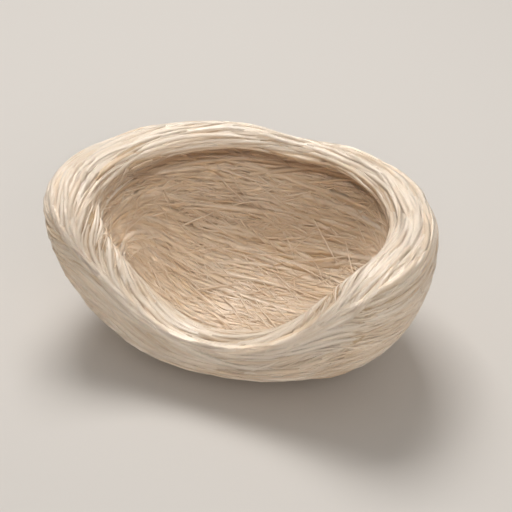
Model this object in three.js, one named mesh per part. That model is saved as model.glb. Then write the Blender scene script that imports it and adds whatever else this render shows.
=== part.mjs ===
// An edible bird's nest: the half cup that a cave swiftlet spins from saliva on a rock face.
// Its strands run in arcs from one foot of the cup to the other, like the ribs of a scallop, so the
// cup is lofted from sections of its wall, taken one after the other along those arcs.
// It lies with its hollow up on a small flat of its belly. +Z is up, +X runs from foot to foot,
// +Y points to the lip, and the side that was cut from the rock faces -Y. Millimetres throughout.

import * as THREE from 'three';
import { LoftGeometry } from 'three/addons/geometries/LoftGeometry.js';
import { mergeVertices } from 'three/addons/utils/BufferGeometryUtils.js';

const { degToRad, lerp, mapLinear } = THREE.MathUtils;

// Driving dimensions, from the line through the tips of the two feet
const FOOT_SPAN = 74; // from tip to tip
const LIP_REACH = 32.5; // out to the lip
const BELLY_DROP = 28; // down to the belly
const BACK_REACH = 23; // back to where the round of the cup would end
const ROCK_FACE = 13; // back to the face it was cut from
const FOOT_THICKNESS = 9; // solid stuff at each end of the mouth
const FOOT_RISE = 3; // the feet curl up by this
const BELLY_FORWARD = 5; // how far the deepest of the belly lies towards the lip
const LEAN = degToRad(6); // lip down from how it hung on the rock
const BELLY_FLAT = 1.1; // height taken off the belly, which leaves the flat that it lies on

// Wall of the cup
const LIP_WALL = 1.6; // right under the lip's bead
const LIP_BEAD = 3; // how far the lip swells from there over the hollow
const LIP_BEAD_SHARE = 0.021; // how far down it fades, as a share of the way to the back edge
const BELLY_WALL = 3.8;
const BACK_WALL = 4.6;
const HOLLOW_ROUNDING = 5; // between the round of the hollow and the wall behind it

// The edge of the mouth, as angles about the line of the feet: 0 towards the lip, 90 degrees down
const LIP_ANGLE = degToRad(-9);
const BACK_ANGLE = degToRad(128);
const LIP_WAVER = degToRad(2.3);
const BACK_WAVER = degToRad(2.9);
const EDGE_RIPPLE = degToRad(0.7); // a shorter wave, on both edges
const MOUTH_ROUNDING = 0.42; // height of the mouth's round edge, as a share of its width

// Fullness of the outlines, where 2 is an ellipse and more is squarer
const ARCH_FULLNESS = 2.2; // from foot to foot
const BOWL_FULLNESS = 2.2; // from the lip round to the back
const BOWL_UNEVENNESS = 0.02; // slow lumps in the whole cup, as a share of its reach

// Cords of strands in relief
const OUTER_CORDS = 19;
const INNER_CORDS = 12;
const CORD_ROWS = 3; // rows of points for each cord: its furrow and two along its crown
const OUTER_RELIEF = 0.7;
const INNER_RELIEF = 0.6;
const EDGE_RELIEF = 0.6; // along the edge of the mouth
const EDGE_FURROW = 0.3; // how deep its furrows go, as a share of its cords' relief
const CORD_SWELL = 0.35; // how much a cord swells and thins on its way
const CORD_VARIETY = 0.35; // how much one cord's relief differs from another's
const CORD_SCATTER = 0.2; // how unevenly the furrows lie, in cord widths
const CORD_SWAY = 0.16; // how far they wander sideways, in cord widths

// Fineness of the loft
const ARCH_STEPS = 44;
const EDGE_STEPS = 7; // over the edge of the mouth
const WELD = 1e-3; // points nearer than this are one

const IVORY = 0xd9c7ae;

// A repeatable value between -1 and 1 for a numbered thing.
function scatter(number) {
  const wild = Math.sin(number * 127.1 + 11.7) * 43758.5453;
  return 2 * (wild - Math.floor(wild)) - 1;
}

// The larger of two values, with the corner between them rounded.
const softMax = (a, b, rounding) => 0.5 * (a + b + Math.hypot(a - b, rounding));

// Distance from the line of the feet to the outside of the cup, half way between them.
function bowlReach(angle) {
  const level = Math.cos(angle) > 0 ? LIP_REACH : BACK_REACH;
  const across = Math.abs(Math.cos(angle) / level) ** BOWL_FULLNESS;
  const down = Math.abs(Math.sin(angle) / BELLY_DROP) ** BOWL_FULLNESS;
  return (across + down) ** (-1 / BOWL_FULLNESS);
}

// How much of its full reach the cup has left at a turn towards a foot.
const archShare = (turn) => (1 - Math.abs(Math.sin(turn)) ** ARCH_FULLNESS) ** (1 / ARCH_FULLNESS);

const unevenness = (turn, angle) =>
  1 + BOWL_UNEVENNESS * (Math.sin(2.1 * turn + 0.6) * Math.cos(angle) + 0.8 * Math.sin(4.3 * turn - 1.6 * angle));

const wall = (angle) =>
  angle < Math.PI / 2
    ? mapLinear(angle, LIP_ANGLE, Math.PI / 2, LIP_WALL, BELLY_WALL)
    : mapLinear(angle, Math.PI / 2, BACK_ANGLE, BELLY_WALL, BACK_WALL);

// The mouth's edge wavers on its way, and comes level with the line of the feet at their tips.
function lipAngle(turn) {
  const waver = LIP_WAVER * Math.sin(3.4 * turn + 0.8) + EDGE_RIPPLE * Math.sin(10 * turn + 2);
  return LIP_ANGLE * (1 - Math.sin(turn) ** 4) + waver * Math.cos(turn);
}

function backAngle(turn) {
  const waver = BACK_WAVER * Math.sin(4.1 * turn + 2) + EDGE_RIPPLE * Math.sin(9 * turn);
  return lerp(BACK_ANGLE, Math.PI, Math.sin(turn) ** 2) + waver * Math.cos(turn);
}

// How far the wall swells into the hollow, most at the lip.
const lipBead = (rise) => LIP_BEAD * Math.exp(-(((1 - rise) / LIP_BEAD_SHARE) ** 2));

// A point of the wall: turn goes from foot to foot (-90 to 90 degrees), rise from the back edge (0) round
// the belly to the lip (1). inside is 0 on the outer face and 1 in the hollow, and lift raises a cord.
function wallPoint(turn, rise, inside, lift = 0) {
  const angle = lerp(backAngle(turn), lipAngle(turn), rise);
  const outward = inside ? -1 : 1;
  const thickness = wall(angle) + lipBead(rise);
  const reach = bowlReach(angle) * unevenness(turn, angle) - inside * thickness + outward * lift;
  const halfSpan = FOOT_SPAN / 2 - inside * FOOT_THICKNESS;
  const forward = archShare(turn) * (reach * Math.cos(angle) + BELLY_FORWARD * Math.sin(angle) ** 2);
  const down = archShare(turn) * reach * Math.sin(angle);
  return new THREE.Vector3(
    halfSpan * Math.sin(turn),
    inside ? softMax(forward, BACK_WALL - ROCK_FACE, HOLLOW_ROUNDING) : Math.max(forward, -ROCK_FACE),
    FOOT_RISE * Math.abs(Math.sin(turn)) ** 3 - down,
  );
}

// Where a numbered furrow between two cords runs, as a rise.
function furrow(number, cords, turn, seed) {
  if (number === 0 || number === cords) return number / cords;
  const sway = Math.sin(3.2 * turn + 3 * scatter(seed + number)) * Math.cos(turn);
  return (number + CORD_SCATTER * scatter(seed + 40 + number) + CORD_SWAY * sway) / cords;
}

// Rows of points over one face of the wall, from the back edge to the lip, raised into cords.
function cordRows(turn, inside) {
  const cords = inside ? INNER_CORDS : OUTER_CORDS;
  const relief = inside ? INNER_RELIEF : OUTER_RELIEF;
  const seed = inside * 500;
  const rows = [];
  for (let cord = 0; cord < cords; cord++) {
    const from = furrow(cord, cords, turn, seed);
    const to = furrow(cord + 1, cords, turn, seed);
    const wave = Math.sin((2 + scatter(seed + 80 + cord)) * turn + 9 * scatter(seed + 120 + cord));
    const swell = 1 - CORD_SWELL + CORD_SWELL * wave;
    const crown = relief * swell * (1 + CORD_VARIETY * scatter(seed + 160 + cord));
    for (let row = 0; row < CORD_ROWS; row++) {
      const rise = lerp(from, to, row / CORD_ROWS);
      rows.push(wallPoint(turn, rise, inside, row === 0 ? 0 : crown));
    }
  }
  rows.push(wallPoint(turn, 1, inside));
  return rows;
}

// Points over the mouth's round edge, from its outer to its inner rim, with cords along it.
function mouthEdge(turn, rise) {
  const angle = rise ? lipAngle(turn) : backAngle(turn);
  const away = rise ? 1 : -1;
  const upward = new THREE.Vector3(0, away * Math.sin(angle), away * Math.cos(angle));
  const from = wallPoint(turn, rise, 0);
  const to = wallPoint(turn, rise, 1);
  const crest = MOUTH_ROUNDING * from.distanceTo(to);
  const fade = 0.3 + 0.7 * Math.cos(turn);
  const points = [];
  for (let step = 1; step < EDGE_STEPS; step++) {
    const share = step / EDGE_STEPS;
    const swell = 1 - CORD_SWELL + CORD_SWELL * Math.sin(2.6 * turn + 9 * scatter(900 + step));
    const cord = EDGE_RELIEF * swell * fade * (step % 2 ? 1 : -EDGE_FURROW);
    const height = 2 * crest * Math.sqrt(share * (1 - share)) + cord;
    const point = from.clone().lerp(to, share).addScaledVector(upward, height);
    points.push(point.setY(Math.max(point.y, -ROCK_FACE)));
  }
  return points;
}

// One section of the wall: round the outside to the lip, over it, and back through the hollow.
const wallSection = (turn) => [
  ...cordRows(turn, 0),
  ...mouthEdge(turn, 1),
  ...cordRows(turn, 1).reverse(),
  ...mouthEdge(turn, 0).reverse(),
];

// Leans the sections over and sets them down on the floor, with the lowest of the belly made flat.
function setDown(sections) {
  const points = sections.flat();
  const footLine = new THREE.Vector3(1, 0, 0);
  for (const point of points) point.applyAxisAngle(footLine, -LEAN);
  const lowest = Math.min(...points.map((point) => point.z));
  for (const point of points) point.setZ(Math.max(point.z - lowest - BELLY_FLAT, 0));
}

// The loft with the points that meet at the feet made one, and the faces that close up there left out.
function closedSolid(loft) {
  const geometry = new THREE.BufferGeometry();
  geometry.setAttribute('position', loft.getAttribute('position'));
  geometry.setIndex(loft.index);
  const welded = mergeVertices(geometry, WELD);
  const corners = welded.index.array;
  const kept = [];
  for (let i = 0; i < corners.length; i += 3) {
    const [a, b, c] = corners.slice(i, i + 3);
    if (a !== b && b !== c && c !== a) kept.push(a, b, c);
  }
  welded.setIndex(kept);
  welded.computeVertexNormals();
  return welded;
}

function makeNest() {
  const sections = [];
  for (let step = 0; step <= ARCH_STEPS; step++) {
    sections.push(wallSection(Math.PI * (step / ARCH_STEPS - 0.5)));
  }
  setDown(sections);
  const geometry = closedSolid(new LoftGeometry(sections));
  geometry.computeBoundingBox();
  const middle = geometry.boundingBox.getCenter(new THREE.Vector3());
  geometry.translate(-middle.x, -middle.y, 0);
  const material = new THREE.MeshStandardMaterial({ color: IVORY, roughness: 0.55, metalness: 0 });
  const mesh = new THREE.Mesh(geometry, material);
  mesh.name = 'nest';
  return mesh;
}

const group = new THREE.Group();
group.add(makeNest());

export default group;
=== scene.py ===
"""An edible bird's nest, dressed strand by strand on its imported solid.

The cup is a fused ground of dried saliva. Flat strands and fine fibres lie over its outside in arcs from
foot to foot, more of them follow the edge of its mouth, and strands, a net of fibres and loose threads
line the hollow. The same seed always gives the same strands.
All lengths are in metres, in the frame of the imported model.
"""

import math

import bmesh
import bpy
import numpy as np
from mathutils import Matrix, Vector
from mathutils.bvhtree import BVHTree


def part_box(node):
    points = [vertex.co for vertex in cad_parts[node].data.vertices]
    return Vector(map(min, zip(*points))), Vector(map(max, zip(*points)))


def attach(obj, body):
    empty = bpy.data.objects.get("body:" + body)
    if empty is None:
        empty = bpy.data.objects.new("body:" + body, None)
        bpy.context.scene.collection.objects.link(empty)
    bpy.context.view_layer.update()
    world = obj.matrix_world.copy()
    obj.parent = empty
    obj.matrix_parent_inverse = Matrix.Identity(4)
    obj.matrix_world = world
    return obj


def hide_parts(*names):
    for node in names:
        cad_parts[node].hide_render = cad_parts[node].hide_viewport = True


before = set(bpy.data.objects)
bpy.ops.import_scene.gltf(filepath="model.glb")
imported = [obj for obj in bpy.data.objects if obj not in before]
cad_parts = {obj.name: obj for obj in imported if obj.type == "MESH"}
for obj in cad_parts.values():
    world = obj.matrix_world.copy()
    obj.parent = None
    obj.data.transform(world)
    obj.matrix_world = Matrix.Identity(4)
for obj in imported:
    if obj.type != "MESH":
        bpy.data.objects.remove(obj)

bl_info = {
    "name": "Edible bird's nest",
    "version": (1, 0, 0),
    "blender": (4, 5, 0),
    "location": "3D View > Sidebar > Nest",
    "description": "Dresses the solid of a swiftlet's nest with its strands and lights it",
    "category": "Object",
}

MM = 0.001
NODE = "nest"
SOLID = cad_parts[NODE].data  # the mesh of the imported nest
LOW, HIGH = (np.array(corner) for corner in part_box(NODE))
SPAN = float(HIGH[0] - LOW[0])  # from foot to foot

# The flat that the nest lies on, the cut where it hung on the rock, and the fused ground
FLOOR_GAP = 0.05 * MM  # between the flat and what is above or below it
FLOOR_EASE = 0.05 * MM  # how gently strands flatten towards the flat
CUT_FACING = 0.98  # how squarely a face looks to the rock to count as cut
CUT_PRESS = 0.7  # how much of what stands out behind the cut is flattened
GROUND_DEPTH = 0.08 * MM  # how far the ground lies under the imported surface, so that strands cover it
GROUND_LEVELS = 2  # rounds of subdivision that smooth it
WELD = 0.001 * MM  # points nearer than this are one

# The edge of the mouth, and what lies how far below it
EDGE_STEPS = 72  # directions from the middle of the mouth in which the height of its edge is found
RIM_DEPTH = 2.6 * MM  # how far down the rim reaches
RIM_OVERHANG = 0.1  # how far its faces may look down, as the drop of their normals
NET_DEPTH = 7 * MM  # where the net starts, so that its fibres stay off the rim
# Painted shade: a browned band in the hollow, just under the lip, stands in for the lip's shadow
PAINTED_SHADE_DEPTH = 5.5 * MM  # where the hollow is painted brownest, as painted shade under the lip's overhang
PAINTED_SHADE_SPREAD = 1.8 * MM  # how far above and below that the painted shade still reaches
PAINTED_SHADE_REACH = 14 * MM  # how far in front of the feet the painted shade of the lip reaches full strength
PAINTED_SHADE_STRENGTH = 0.75  # how far the painted shade turns the hollow to its browned colour there

# The run of strands, which turn round the mouth where they are well to one side of its middle
FOOT_START = 0.75  # sideways share of the direction from that middle at which the turn begins
FOOT_EASE = 0.2  # how much more of it the turn takes
MOST_SLANT = 0.7  # largest angle by which a strand leaves the run
MOST_BEND = 0.8  # largest angle by which it turns further, over its length

# The form and tone of strands
STRAND_SIDES = 4
STRAND_RINGS = 11
ALONG = np.linspace(-1, 1, STRAND_RINGS)  # places of the rings, from end to end
AROUND = np.linspace(0, 2 * math.pi, STRAND_SIDES, endpoint=False)  # places of a ring's corners
THINNEST = 0.3  # width of the thinnest strands of a kind, over that of the widest
END_TAPER = 0.7  # how much of its width a strand loses towards its ends
TONE_SPREAD = 0.16  # how much strands of a kind differ in age

# The pattern of the finish
BLOTCH = 9 * MM  # size of a yellowed blotch
BLOTCH_AGE = 0.5  # how much blotches add to the age
STREAK_LENGTH = 7 * MM
STREAK_WIDTH = 0.45 * MM
STREAK_AGE = 0.4  # how much streaks add to the age
STREAK_SHIFT = 10 * MM  # how far the pattern moves on from one strand to the next, so that none are alike

# The map for baking, in which each strand has a cell
CELL_SHAPE = 8  # how many times longer than wide a cell is
CELL_INSET = 0.08  # the share of the cell that is left free on each side

# The stage, with the places of lights from the middle of the nest
FLOOR_REACH = 40 * SPAN  # from the middle of the floor to its edges
KEY_SIZE = 2.8 * SPAN
KEY_PLACE = Vector((-1.3, 1.6, 5.6)) * SPAN
FILL_SIZE = 4 * SPAN
FILL_PLACE = Vector((3.2, -4.2, 3.2)) * SPAN


def linear(hex_colour):
    """Linear red, green and blue of an sRGB hex colour."""
    shares = [int(hex_colour[i : i + 2], 16) / 255 for i in (1, 3, 5)]
    return [s / 12.92 if s <= 0.04045 else ((s + 0.055) / 1.055) ** 2.4 for s in shares]


class NestStrands(bpy.types.PropertyGroup):
    """How many strands of each kind there are, and the width of the widest."""

    seed: bpy.props.IntProperty(name="Seed", description="Start of the scatter", default=7, min=0)
    belly_strands: bpy.props.IntProperty(
        name="Belly strands", description="Flat strands over the outside", default=1700, min=1
    )
    belly_strands_width: bpy.props.FloatProperty(
        name="Width", description="Widest belly strand", default=2 * MM, unit="LENGTH"
    )
    belly_fibres: bpy.props.IntProperty(
        name="Belly fibres", description="Fine fibres over the belly strands", default=2000, min=1
    )
    belly_fibres_width: bpy.props.FloatProperty(
        name="Width", description="Widest belly fibre", default=0.75 * MM, unit="LENGTH"
    )
    rim_strands: bpy.props.IntProperty(
        name="Rim strands", description="Strands along the edge of the mouth", default=1200, min=1
    )
    rim_strands_width: bpy.props.FloatProperty(
        name="Width", description="Widest rim strand", default=1.5 * MM, unit="LENGTH"
    )
    lining_strands: bpy.props.IntProperty(
        name="Lining strands", description="Strands along the wall of the hollow", default=1900, min=1
    )
    lining_strands_width: bpy.props.FloatProperty(
        name="Width", description="Widest lining strand", default=1.7 * MM, unit="LENGTH"
    )
    net_fibres: bpy.props.IntProperty(
        name="Net fibres", description="Finest fibres that cross in the hollow", default=1900, min=1
    )
    net_fibres_width: bpy.props.FloatProperty(
        name="Width", description="Widest net fibre", default=0.42 * MM, unit="LENGTH"
    )
    loose_threads: bpy.props.IntProperty(
        name="Loose threads", description="Threads that span the rounds of the hollow", default=150, min=1
    )
    loose_threads_width: bpy.props.FloatProperty(
        name="Width", description="Widest loose thread", default=0.4 * MM, unit="LENGTH"
    )


class NestColours(bpy.types.PropertyGroup):
    """Colours of the dried saliva, and of the painted shade under the lip."""

    pale: bpy.props.FloatVectorProperty(
        name="Pale", description="Fresh, clean strands", subtype="COLOR", default=linear("#F4E4D1")
    )
    aged: bpy.props.FloatVectorProperty(
        name="Aged", description="Older, yellowed strands", subtype="COLOR", default=linear("#DABA92")
    )
    deep: bpy.props.FloatVectorProperty(
        name="Deep", description="Fused ground between strands", subtype="COLOR", default=linear("#CDB08A")
    )
    # painted shade: the colour of the band under the lip, which stands in for its shadow
    painted_shade_colour: bpy.props.FloatVectorProperty(
        name="Brown", description="Hollow in the lip's shelter", subtype="COLOR", default=linear("#94704F")
    )


class NestStage(bpy.types.PropertyGroup):
    """Camera, floor and light."""

    azimuth: bpy.props.FloatProperty(
        name="Azimuth", description="Camera's turn to the right", default=math.radians(24), subtype="ANGLE"
    )
    elevation: bpy.props.FloatProperty(
        name="Elevation", description="Camera's height", default=math.radians(36), subtype="ANGLE"
    )
    lens: bpy.props.FloatProperty(
        name="Lens", description="Focal length in millimetres", default=150, unit="CAMERA"
    )
    view_width: bpy.props.FloatProperty(
        name="View width", description="Picture's width at the nest", default=1.32 * SPAN, unit="LENGTH"
    )
    floor: bpy.props.FloatVectorProperty(
        name="Floor", description="Colour of the floor", subtype="COLOR", default=linear("#D8D2CB")
    )
    key: bpy.props.FloatProperty(
        name="Key light", description="Power of the large light", default=1.4, unit="POWER"
    )
    fill: bpy.props.FloatProperty(
        name="Fill light", description="Power of the light opposite", default=0.42, unit="POWER"
    )
    room: bpy.props.FloatProperty(
        name="Room light", description="Strength of the light from all around", default=0.32, min=0
    )
    room_colour: bpy.props.FloatVectorProperty(
        name="Room colour", description="Colour of that light", subtype="COLOR", default=(1.0, 0.98, 0.95)
    )


def add_node(tree, kind, settings=None, inputs=None, links=None):
    """Adds a node, sets its properties and sockets, and links sockets of earlier nodes into it."""
    node = tree.nodes.new(kind)
    for name, value in (settings or {}).items():
        setattr(node, name, value)
    for name, value in (inputs or {}).items():
        node.inputs[name].default_value = value
    for name, source in (links or {}).items():
        tree.links.new(source, node.inputs[name])
    return node


def dried_saliva(name, light_end, dark_end, painted_shade_colour):
    """Dried swiftlet saliva: a pale, horn-like glue, spun in strands and set hard.

    The eye sees satin ivory under a thin gloss, yellowed in blotches, with fine streaks along the strands.
    Under the lip it is browned by painted shade, which stands in for the lip's shadow.
    Light that sinks in comes out again close by, so the strands look fused and the gaps between them soft.
    The streaks are coarser than life, so that they show.
    """
    material = bpy.data.materials.new(name)
    material.use_nodes = True
    tree = material.node_tree
    tree.nodes.clear()
    place = add_node(tree, "ShaderNodeTexCoord")
    tone = add_node(tree, "ShaderNodeAttribute", {"attribute_name": "tone"})
    grain = add_node(tree, "ShaderNodeAttribute", {"attribute_name": "grain"})
    # painted shade under the lip, from 0 to its full strength
    painted_shade = add_node(tree, "ShaderNodeAttribute", {"attribute_name": "painted_shade"})
    blotches = add_node(
        tree,
        "ShaderNodeTexNoise",
        inputs={"Scale": 1 / BLOTCH, "Detail": 3.0},
        links={"Vector": place.outputs["Object"]},
    )
    drawn_out = add_node(
        tree,
        "ShaderNodeMapping",
        inputs={"Scale": (1 / STREAK_LENGTH, 1 / STREAK_WIDTH, 1 / STREAK_WIDTH)},
        links={"Vector": grain.outputs["Vector"]},
    )
    streaks = add_node(
        tree,
        "ShaderNodeTexNoise",
        inputs={"Scale": 1.0, "Detail": 2.0},
        links={"Vector": drawn_out.outputs["Vector"]},
    )
    blotched = add_node(
        tree,
        "ShaderNodeMath",
        {"operation": "MULTIPLY_ADD"},
        {1: BLOTCH_AGE},
        {0: blotches.outputs["Fac"], 2: tone.outputs["Fac"]},
    )
    age = add_node(
        tree,
        "ShaderNodeMath",
        {"operation": "MULTIPLY_ADD", "use_clamp": True},
        {1: STREAK_AGE},
        {0: streaks.outputs["Fac"], 2: blotched.outputs["Value"]},
    )
    ivory = add_node(
        tree,
        "ShaderNodeMix",
        {"data_type": "RGBA"},
        {"A": (*light_end, 1), "B": (*dark_end, 1)},
        {"Factor": age.outputs["Value"]},
    )
    # painted shade: browned in a band under the lip
    colour = add_node(
        tree,
        "ShaderNodeMix",
        {"data_type": "RGBA"},
        {"B": (*painted_shade_colour, 1)},
        {"Factor": painted_shade.outputs["Fac"], "A": ivory.outputs["Result"]},
    )
    gloss = add_node(
        tree,
        "ShaderNodeMapRange",
        inputs={"To Min": 0.28, "To Max": 0.46},
        links={"Value": streaks.outputs["Fac"]},
    )
    bump = add_node(
        tree,
        "ShaderNodeBump",
        inputs={"Strength": 0.5, "Distance": 0.15 * MM},
        links={"Height": streaks.outputs["Fac"]},
    )
    skin = add_node(
        tree,
        "ShaderNodeBsdfPrincipled",
        {"subsurface_method": "BURLEY"},
        {
            "IOR": 1.54,
            "Subsurface Weight": 0.6,
            "Subsurface Radius": (1, 1, 1),
            "Subsurface Scale": 0.5 * MM,
            "Coat Weight": 0.35,
            "Coat Roughness": 0.2,
        },
        {
            "Base Color": colour.outputs["Result"],
            "Roughness": gloss.outputs["Result"],
            "Normal": bump.outputs["Normal"],
        },
    )
    add_node(tree, "ShaderNodeOutputMaterial", links={"Surface": skin.outputs["BSDF"]})
    return material


def saliva_of_strands(colours):
    """The finish that all strands share."""
    name = "dried_saliva_strands"
    made = bpy.data.materials.get(name)
    return made or dried_saliva(name, colours.pale, colours.aged, colours.painted_shade_colour)


def unit(vectors):
    """The vectors, each with length one."""
    return vectors / np.linalg.norm(vectors, axis=-1, keepdims=True)


def dot(a, b):
    """The product of vectors, one number for each, with its last axis kept."""
    return np.sum(a * b, axis=-1, keepdims=True)


def places_of(mesh):
    """The places of a mesh's vertices."""
    flat = np.empty(3 * len(mesh.vertices))
    mesh.vertices.foreach_get("co", flat)
    return flat.reshape(-1, 3)


def solid_copy():
    """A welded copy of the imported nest."""
    work = bmesh.new()
    work.from_mesh(SOLID)
    bmesh.ops.remove_doubles(work, verts=work.verts, dist=WELD)
    return work


def surface():
    """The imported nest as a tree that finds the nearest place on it."""
    work = solid_copy()
    tree = BVHTree.FromBMesh(work)
    work.free()
    return tree


def mouth_centre():
    """The point between the tips of the two feet, which the wall of the cup surrounds."""
    places = places_of(SOLID)
    return (places[places[:, 0].argmin()] + places[places[:, 0].argmax()]) / 2


def turns_about_mouth(places):
    """The direction in which each place lies from the middle of the mouth, seen from above."""
    away = places - mouth_centre()
    return np.arctan2(away[:, 1], away[:, 0])


def edge_height(places):
    """Height of the mouth's edge in the direction of each place, seen from the middle of the mouth."""
    corners = places_of(SOLID)
    turns = turns_about_mouth(corners)
    limits = np.linspace(-math.pi, math.pi, EDGE_STEPS + 1)
    sectors = [(turns >= low) & (turns <= high) for low, high in zip(limits, limits[1:])]
    heights = [corners[sector, 2].max() for sector in sectors]
    middles = (limits[1:] + limits[:-1]) / 2
    return np.interp(turns_about_mouth(places), middles, heights, period=2 * math.pi)


def outside(places, normals):
    """Faces that look away from the middle of the mouth."""
    return dot(places - mouth_centre(), normals)[:, 0] > 0


def rim(places, normals):
    """Faces along the mouth's edge, down to where it hangs over the hollow."""
    return (normals[:, 2] > -RIM_OVERHANG) & (places[:, 2] > edge_height(places) - RIM_DEPTH)


def hollow(places, normals):
    """Faces under the rim that look towards the middle of the mouth."""
    return ~outside(places, normals) & ~rim(places, normals)


def deep_hollow(places, normals):
    """Faces of the hollow well under the rim."""
    return hollow(places, normals) & (places[:, 2] < edge_height(places) - NET_DEPTH)


def lip_painted_shade(places):
    """How strongly the hollow is browned by painted shade at each place, in a band under the lip."""
    under_lip = np.clip((places - mouth_centre())[:, 1] / PAINTED_SHADE_REACH, 0, 1)
    depth = edge_height(places) - places[:, 2]
    return PAINTED_SHADE_STRENGTH * under_lip * np.exp(-(((depth - PAINTED_SHADE_DEPTH) / PAINTED_SHADE_SPREAD) ** 2))


def scatter_on_nest(rng, count, wanted):
    """Random places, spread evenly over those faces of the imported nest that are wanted."""
    SOLID.calc_loop_triangles()
    corners = places_of(SOLID)[np.array([face.vertices for face in SOLID.loop_triangles])]
    crossed = np.cross(corners[:, 1] - corners[:, 0], corners[:, 2] - corners[:, 0])
    areas = np.linalg.norm(crossed, axis=1)
    weights = areas * wanted(corners.mean(axis=1), crossed / areas[:, None])
    picked = rng.choice(len(corners), count, p=weights / weights.sum())
    shares = rng.dirichlet((1, 1, 1), count)
    return np.sum(corners[picked] * shares[:, :, None], axis=1)


def run_of_strands(places):
    """How strands run: from foot to foot, and round the mouth where such arcs would meet at the feet."""
    away = unit(places - mouth_centre())
    to_foot = np.array([1, 0, 0]) - away[:, :1] * away
    round_mouth = np.cross([0, 0, 1], away)
    round_mouth = np.where(dot(round_mouth, to_foot) < 0, -round_mouth, round_mouth)
    near_foot = np.clip((np.abs(away[:, :1]) - FOOT_START) / FOOT_EASE, 0, 1)
    return unit(to_foot * (1 - near_foot) + round_mouth * near_foot)


def eased(rows):
    """Rows of vectors along strands, each drawn to its neighbours."""
    longer = np.concatenate([rows[:, :1], rows, rows[:, -1:]], axis=1)
    return (longer[:, :-2] + 2 * longer[:, 1:-1] + longer[:, 2:]) / 4


def trail(rng, places, lengths, slants, bends):
    """Points and normals along strands that start at the places on the nest and follow their run.

    A strand leaves that run by its slant, which grows by its bend over its length.
    """
    tree = surface()
    heading = rng.choice([-1, 1], (len(places), 1)) * np.array([1, 0, 0])
    points = []
    normals = []
    for share in np.linspace(0, 1, STRAND_RINGS):
        hits = [tree.find_nearest(place) for place in places]
        spots = np.array([hit[0] for hit in hits])
        facing = np.array([hit[1] for hit in hits])
        points.append(spots)
        normals.append(facing)
        ahead = run_of_strands(spots)
        ahead = np.where(dot(ahead, heading) < 0, -ahead, ahead)
        ahead = unit(ahead - facing * dot(ahead, facing))
        turn = (slants + bends * share)[:, None]
        heading = np.cos(turn) * ahead + np.sin(turn) * np.cross(facing, ahead)
        places = spots + heading * (lengths / (STRAND_RINGS - 1))[:, None]
    return eased(np.stack(points, axis=1)), unit(eased(np.stack(normals, axis=1)))


def drawn_straight(points, taut):
    """Rows of points along strands, drawn towards straight lines between the strands' ends."""
    first = points[:, :1]
    last = points[:, -1:]
    straight = first + (last - first) * (ALONG[:, None] + 1) / 2
    return points + taut * (straight - points)


def press_to_rock(points):
    """Flattens what stands out behind the cut, where the nest was pressed against the rock."""
    cut = np.array([face.normal * face.area for face in SOLID.polygons if face.normal.y < -CUT_FACING])
    normal = unit(cut.sum(axis=0))
    depth = (places_of(SOLID) @ normal).max()
    beyond = np.maximum(points @ normal - depth, 0)
    return points - CUT_PRESS * beyond[..., None] * normal


def press_to_floor(points):
    """Flattens what would reach below the flat that the nest lies on."""
    height = points[..., 2] - FLOOR_GAP
    pressed = points.copy()
    pressed[..., 2] = FLOOR_GAP + (height + np.hypot(height, FLOOR_EASE)) / 2
    return pressed


def strand_mesh(name, points, normals, half_width, half_height):
    """Closed, lens-shaped strands along rows of points, flattened behind the cut and under the belly."""
    along = unit(np.gradient(points, axis=1))
    across = unit(np.cross(along, normals))
    up = np.cross(across, along)
    rings = (
        points[:, :, None]
        + half_width[:, :, None, None] * np.cos(AROUND)[:, None] * across[:, :, None]
        + half_height[:, :, None, None] * np.sin(AROUND)[:, None] * up[:, :, None]
    )
    rings = press_to_floor(press_to_rock(rings))
    corners = np.arange(rings[..., 0].size).reshape(rings.shape[:3])
    beside = np.roll(corners, -1, axis=2)
    walls = np.stack([corners[:, :-1], corners[:, 1:], beside[:, 1:], beside[:, :-1]], axis=-1)
    faces = walls.reshape(-1, 4).tolist()
    faces += corners[:, 0].tolist()
    faces += corners[:, -1, ::-1].tolist()
    mesh = bpy.data.meshes.new(name)
    mesh.from_pydata(rings.reshape(-1, 3).tolist(), [], faces)
    mesh.shade_smooth()
    return mesh


def set_numbers(mesh, name, numbers):
    """Gives each vertex of a mesh a number, under a name that the finish reads."""
    mesh.attributes.new(name, "FLOAT", "POINT").data.foreach_set("value", numbers.astype(np.float32))


def set_grain(mesh, along, across, apart):
    """Coordinates for streaks: along the strands, across them, and apart from one strand to the next."""
    grain = np.stack(np.broadcast_arrays(along, across, apart), axis=-1).astype(np.float32)
    mesh.attributes.new("grain", "FLOAT_VECTOR", "POINT").data.foreach_set("vector", grain.ravel())


def set_bake_cells(mesh, count):
    """The map for baking, in which each strand has a cell of its own."""
    columns = math.ceil(math.sqrt(count / CELL_SHAPE))
    rows = math.ceil(count / columns)
    cells = np.stack([np.arange(count) % columns, np.arange(count) // columns], axis=-1)
    ring = np.arange(STRAND_RINGS - 1)[:, None, None] + np.array([0, 1, 1, 0])
    side = np.arange(STRAND_SIDES)[:, None] + np.array([0, 0, 1, 1])
    walls = np.stack(np.broadcast_arrays(ring / (STRAND_RINGS - 1), side / STRAND_SIDES), axis=-1)
    edge = np.arange(STRAND_SIDES) / STRAND_SIDES
    start = np.stack([np.zeros(STRAND_SIDES), edge], axis=-1)
    end = np.stack([np.ones(STRAND_SIDES), edge[::-1]], axis=-1)
    spots = []
    for faces in (walls, start, end):
        inset = CELL_INSET + (1 - 2 * CELL_INSET) * faces.reshape(-1, 2)
        spots.append((cells[:, None] + inset).reshape(-1, 2) / (columns, rows))
    layer = mesh.uv_layers.new(name="OFBake")
    layer.uv.foreach_set("vector", np.concatenate(spots).astype(np.float32).ravel())


def settle(context, mesh, material):
    """Makes a mesh a piece of the nest, with its finish."""
    mesh.materials.clear()
    mesh.materials.append(material)
    piece = bpy.data.objects.new(mesh.name, mesh)
    context.collection.objects.link(piece)
    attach(piece, "root")
    return piece


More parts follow.
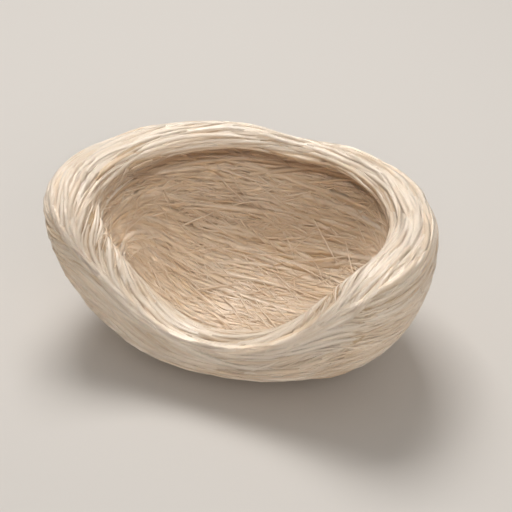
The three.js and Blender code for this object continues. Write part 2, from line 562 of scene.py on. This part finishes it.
def lay_strands(
    context, kind, where, length, slant, bend, flatness, lift, tone, taut=0.0, painted_shade_under_lip=False
):
    """Lays all strands of a kind, as one piece, with ends that dip into the ground.

    Length and lift are ranges in millimetres. Slant and bend are the usual angles by which strands leave
    the common run. Flatness is height over width, tone a mean age, and taut how far they are drawn
    straight. Strands with painted shade under the lip are browned in a band there, as the lip's shadow.
    """
    settings = context.scene.nest_strands
    count = getattr(settings, kind)
    widest = getattr(settings, f"{kind}_width")
    rng = np.random.default_rng([settings.seed, *kind.encode()])
    points, normals = trail(
        rng,
        scatter_on_nest(rng, count, where),
        rng.uniform(*length, count) * MM,
        rng.normal(0, slant, count).clip(-MOST_SLANT, MOST_SLANT),
        rng.normal(0, bend, count).clip(-MOST_BEND, MOST_BEND),
    )
    points = drawn_straight(points, taut)
    ends = ALONG**2
    half_width = widest / 2 * rng.uniform(THINNEST, 1, (count, 1)) * (1 - END_TAPER * ends)
    half_height = flatness * half_width
    rise = rng.uniform(*lift, (count, 1)) * MM * (1 - ends) - half_height * ends
    mesh = strand_mesh(kind, points + normals * rise[..., None], normals, half_width, half_height)

    tones = rng.normal(tone, TONE_SPREAD, count)
    set_numbers(mesh, "tone", np.repeat(tones, STRAND_RINGS * STRAND_SIDES))
    # painted shade: strands of the hollow are browned in a band under the lip
    if painted_shade_under_lip:
        set_numbers(mesh, "painted_shade", np.repeat(lip_painted_shade(points.reshape(-1, 3)), STRAND_SIDES))
    reach = np.linalg.norm(np.diff(points, axis=1), axis=2).sum(axis=1)
    set_grain(
        mesh,
        (reach[:, None] * ALONG / 2)[:, :, None],
        half_width[:, :, None] * AROUND,
        STREAK_SHIFT * np.arange(count)[:, None, None],
    )
    set_bake_cells(mesh, count)
    settle(context, mesh, saliva_of_strands(context.scene.nest_colours))


def add_floor(context, colour):
    """A wide sheet of matt paper, just under the nest: even and pale, with no shine."""
    work = bmesh.new()
    below = Matrix.Translation((0, 0, -FLOOR_GAP))
    bmesh.ops.create_grid(work, x_segments=1, y_segments=1, size=FLOOR_REACH, matrix=below)
    mesh = bpy.data.meshes.new("floor")
    work.to_mesh(mesh)
    work.free()
    paper = bpy.data.materials.new("matt_paper")
    paper.use_nodes = True
    skin = paper.node_tree.nodes["Principled BSDF"]
    skin.inputs["Base Color"].default_value = (*colour, 1)
    skin.inputs["Roughness"].default_value = 0.9
    mesh.materials.append(paper)
    floor = bpy.data.objects.new("floor", mesh)
    context.collection.objects.link(floor)


def add_room_light(context, colour, strength):
    """Soft light from all around."""
    world = bpy.data.worlds.new("soft_room")
    world.use_nodes = True
    background = world.node_tree.nodes["Background"]
    background.inputs["Color"].default_value = (*colour, 1)
    background.inputs["Strength"].default_value = strength
    context.scene.world = world


def add_aimed(context, name, data, place):
    """A light or camera at a place that is given from the middle of the nest, aimed at that middle."""
    aimed = bpy.data.objects.new(name, data)
    aimed.location = Vector((LOW + HIGH) / 2) + place
    aimed.rotation_euler = (-place).to_track_quat("-Z", "Y").to_euler()
    context.collection.objects.link(aimed)
    return aimed


def add_light(context, name, power, size, place):
    """A square, soft light that shines on the nest."""
    light = bpy.data.lights.new(name, "AREA")
    light.energy = power
    light.size = size
    add_aimed(context, name, light, place)


def add_camera(context, stage):
    """The camera, far enough back for the width that it takes in."""
    camera = bpy.data.cameras.new("camera")
    camera.lens = stage.lens
    back = Vector(
        (
            math.sin(stage.azimuth) * math.cos(stage.elevation),
            -math.cos(stage.azimuth) * math.cos(stage.elevation),
            math.sin(stage.elevation),
        )
    )
    place = back * stage.view_width * stage.lens / camera.sensor_width
    context.scene.camera = add_aimed(context, "camera", camera, place)


class NEST_OT_make_ground(bpy.types.Operator):
    """Make the fused ground of the cup, which carries all strands"""

    bl_idname = "nest.make_ground"
    bl_label = "Ground"

    def execute(self, context):
        work = solid_copy()
        bmesh.ops.join_triangles(
            work, faces=work.faces, angle_face_threshold=math.pi, angle_shape_threshold=math.pi
        )
        for corner in work.verts:
            if corner.co.z > FLOOR_GAP:
                corner.co -= corner.normal * GROUND_DEPTH
        mesh = bpy.data.meshes.new("nest_ground")
        work.to_mesh(mesh)
        work.free()
        mesh.shade_smooth()
        places = places_of(mesh)
        normals = np.array([corner.normal for corner in mesh.vertices])
        # painted shade: the ground of the hollow is browned in a band under the lip
        set_numbers(mesh, "painted_shade", lip_painted_shade(places) * ~outside(places, normals))
        away = places - mouth_centre()
        reach = np.linalg.norm(away, axis=1)
        along = reach * np.arcsin(away[:, 0] / reach)
        across = reach * np.arctan2(away[:, 2], away[:, 1])
        set_grain(mesh, along, across, 0)
        colours = context.scene.nest_colours
        finish = dried_saliva("dried_saliva_ground", colours.aged, colours.deep, colours.painted_shade_colour)
        ground = settle(context, mesh, finish)
        smooth = ground.modifiers.new("Smooth", "SUBSURF")
        smooth.levels = GROUND_LEVELS
        smooth.render_levels = GROUND_LEVELS
        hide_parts(NODE)
        return {"FINISHED"}


class NEST_OT_lay_belly_strands(bpy.types.Operator):
    """Lay flat strands over the outside, in arcs from foot to foot"""

    bl_idname = "nest.lay_belly_strands"
    bl_label = "Belly strands"

    def execute(self, context):
        lay_strands(
            context,
            "belly_strands",
            outside,
            length=(18, 55),
            slant=0.05,
            bend=0.06,
            flatness=0.28,
            lift=(-0.15, 0.2),
            tone=-0.1,
        )
        return {"FINISHED"}


class NEST_OT_lay_belly_fibres(bpy.types.Operator):
    """Lay fine fibres over the belly strands"""

    bl_idname = "nest.lay_belly_fibres"
    bl_label = "Belly fibres"

    def execute(self, context):
        lay_strands(
            context,
            "belly_fibres",
            outside,
            length=(8, 32),
            slant=0.12,
            bend=0.2,
            flatness=0.5,
            lift=(0, 0.3),
            tone=-0.2,
        )
        return {"FINISHED"}


class NEST_OT_lay_rim_strands(bpy.types.Operator):
    """Lay strands along the edge of the mouth"""

    bl_idname = "nest.lay_rim_strands"
    bl_label = "Rim strands"

    def execute(self, context):
        lay_strands(
            context,
            "rim_strands",
            rim,
            length=(12, 36),
            slant=0.04,
            bend=0.06,
            flatness=0.5,
            lift=(-0.1, 0.4),
            tone=-0.35,
        )
        return {"FINISHED"}


class NEST_OT_lay_lining_strands(bpy.types.Operator):
    """Line the hollow with strands along its wall"""

    bl_idname = "nest.lay_lining_strands"
    bl_label = "Lining strands"

    def execute(self, context):
        lay_strands(
            context,
            "lining_strands",
            hollow,
            length=(12, 42),
            slant=0.1,
            bend=0.2,
            flatness=0.3,
            lift=(-0.15, 0.2),
            tone=0.05,
            # browned by painted shade under the lip
            painted_shade_under_lip=True,
        )
        return {"FINISHED"}


class NEST_OT_weave_net_fibres(bpy.types.Operator):
    """Weave a net of the finest fibres over the lining"""

    bl_idname = "nest.weave_net_fibres"
    bl_label = "Net fibres"

    def execute(self, context):
        lay_strands(
            context,
            "net_fibres",
            deep_hollow,
            length=(4, 14),
            slant=0.4,
            bend=0.6,
            flatness=0.7,
            lift=(0.15, 0.5),
            tone=-0.05,
            # browned by painted shade under the lip
            painted_shade_under_lip=True,
        )
        return {"FINISHED"}


class NEST_OT_hang_loose_threads(bpy.types.Operator):
    """Hang threads across the rounds of the hollow"""

    bl_idname = "nest.hang_loose_threads"
    bl_label = "Loose threads"

    def execute(self, context):
        lay_strands(
            context,
            "loose_threads",
            deep_hollow,
            length=(7, 17),
            slant=0.5,
            bend=0.3,
            flatness=0.9,
            lift=(0, 0.3),
            tone=-0.2,
            taut=0.8,
            # browned by painted shade under the lip
            painted_shade_under_lip=True,
        )
        return {"FINISHED"}


class NEST_OT_set_stage(bpy.types.Operator):
    """Set up the floor, the lights and the camera"""

    bl_idname = "nest.set_stage"
    bl_label = "Stage"

    def execute(self, context):
        stage = context.scene.nest_stage
        add_floor(context, stage.floor)
        add_room_light(context, stage.room_colour, stage.room)
        add_light(context, "key_light", stage.key, KEY_SIZE, KEY_PLACE)
        add_light(context, "fill_light", stage.fill, FILL_SIZE, FILL_PLACE)
        add_camera(context, stage)
        context.scene.view_settings.view_transform = "Standard"
        return {"FINISHED"}


class NEST_PT_panel(bpy.types.Panel):
    """Lists the nest's sizes, colours and pieces"""

    bl_idname = "NEST_PT_panel"
    bl_label = "Edible bird's nest"
    bl_space_type = "VIEW_3D"
    bl_region_type = "UI"
    bl_category = "Nest"

    def draw(self, context):
        for group in (context.scene.nest_strands, context.scene.nest_colours, context.scene.nest_stage):
            box = self.layout.box()
            for name in group.bl_rna.properties.keys():
                if name not in ("rna_type", "name"):
                    box.prop(group, name)
        for operator in OPERATORS:
            self.layout.operator(operator.bl_idname)


GROUPS = {"nest_strands": NestStrands, "nest_colours": NestColours, "nest_stage": NestStage}
OPERATORS = (
    NEST_OT_make_ground,
    NEST_OT_lay_belly_strands,
    NEST_OT_lay_belly_fibres,
    NEST_OT_lay_rim_strands,
    NEST_OT_lay_lining_strands,
    NEST_OT_weave_net_fibres,
    NEST_OT_hang_loose_threads,
    NEST_OT_set_stage,
)
CLASSES = (*GROUPS.values(), *OPERATORS, NEST_PT_panel)


def register():
    """Registers the classes, and gives scenes the settings."""
    for cls in CLASSES:
        bpy.utils.register_class(cls)
    for name, group in GROUPS.items():
        setattr(bpy.types.Scene, name, bpy.props.PointerProperty(type=group))


def unregister():
    """Takes the settings and the classes away again."""
    for name in GROUPS:
        delattr(bpy.types.Scene, name)
    for cls in reversed(CLASSES):
        bpy.utils.unregister_class(cls)


def main():
    """Dresses the nest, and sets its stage."""
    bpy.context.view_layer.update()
    register()
    bpy.ops.nest.make_ground()
    bpy.ops.nest.lay_belly_strands()
    bpy.ops.nest.lay_belly_fibres()
    bpy.ops.nest.lay_rim_strands()
    bpy.ops.nest.lay_lining_strands()
    bpy.ops.nest.weave_net_fibres()
    bpy.ops.nest.hang_loose_threads()
    bpy.ops.nest.set_stage()


if __name__ == "__main__":
    main()
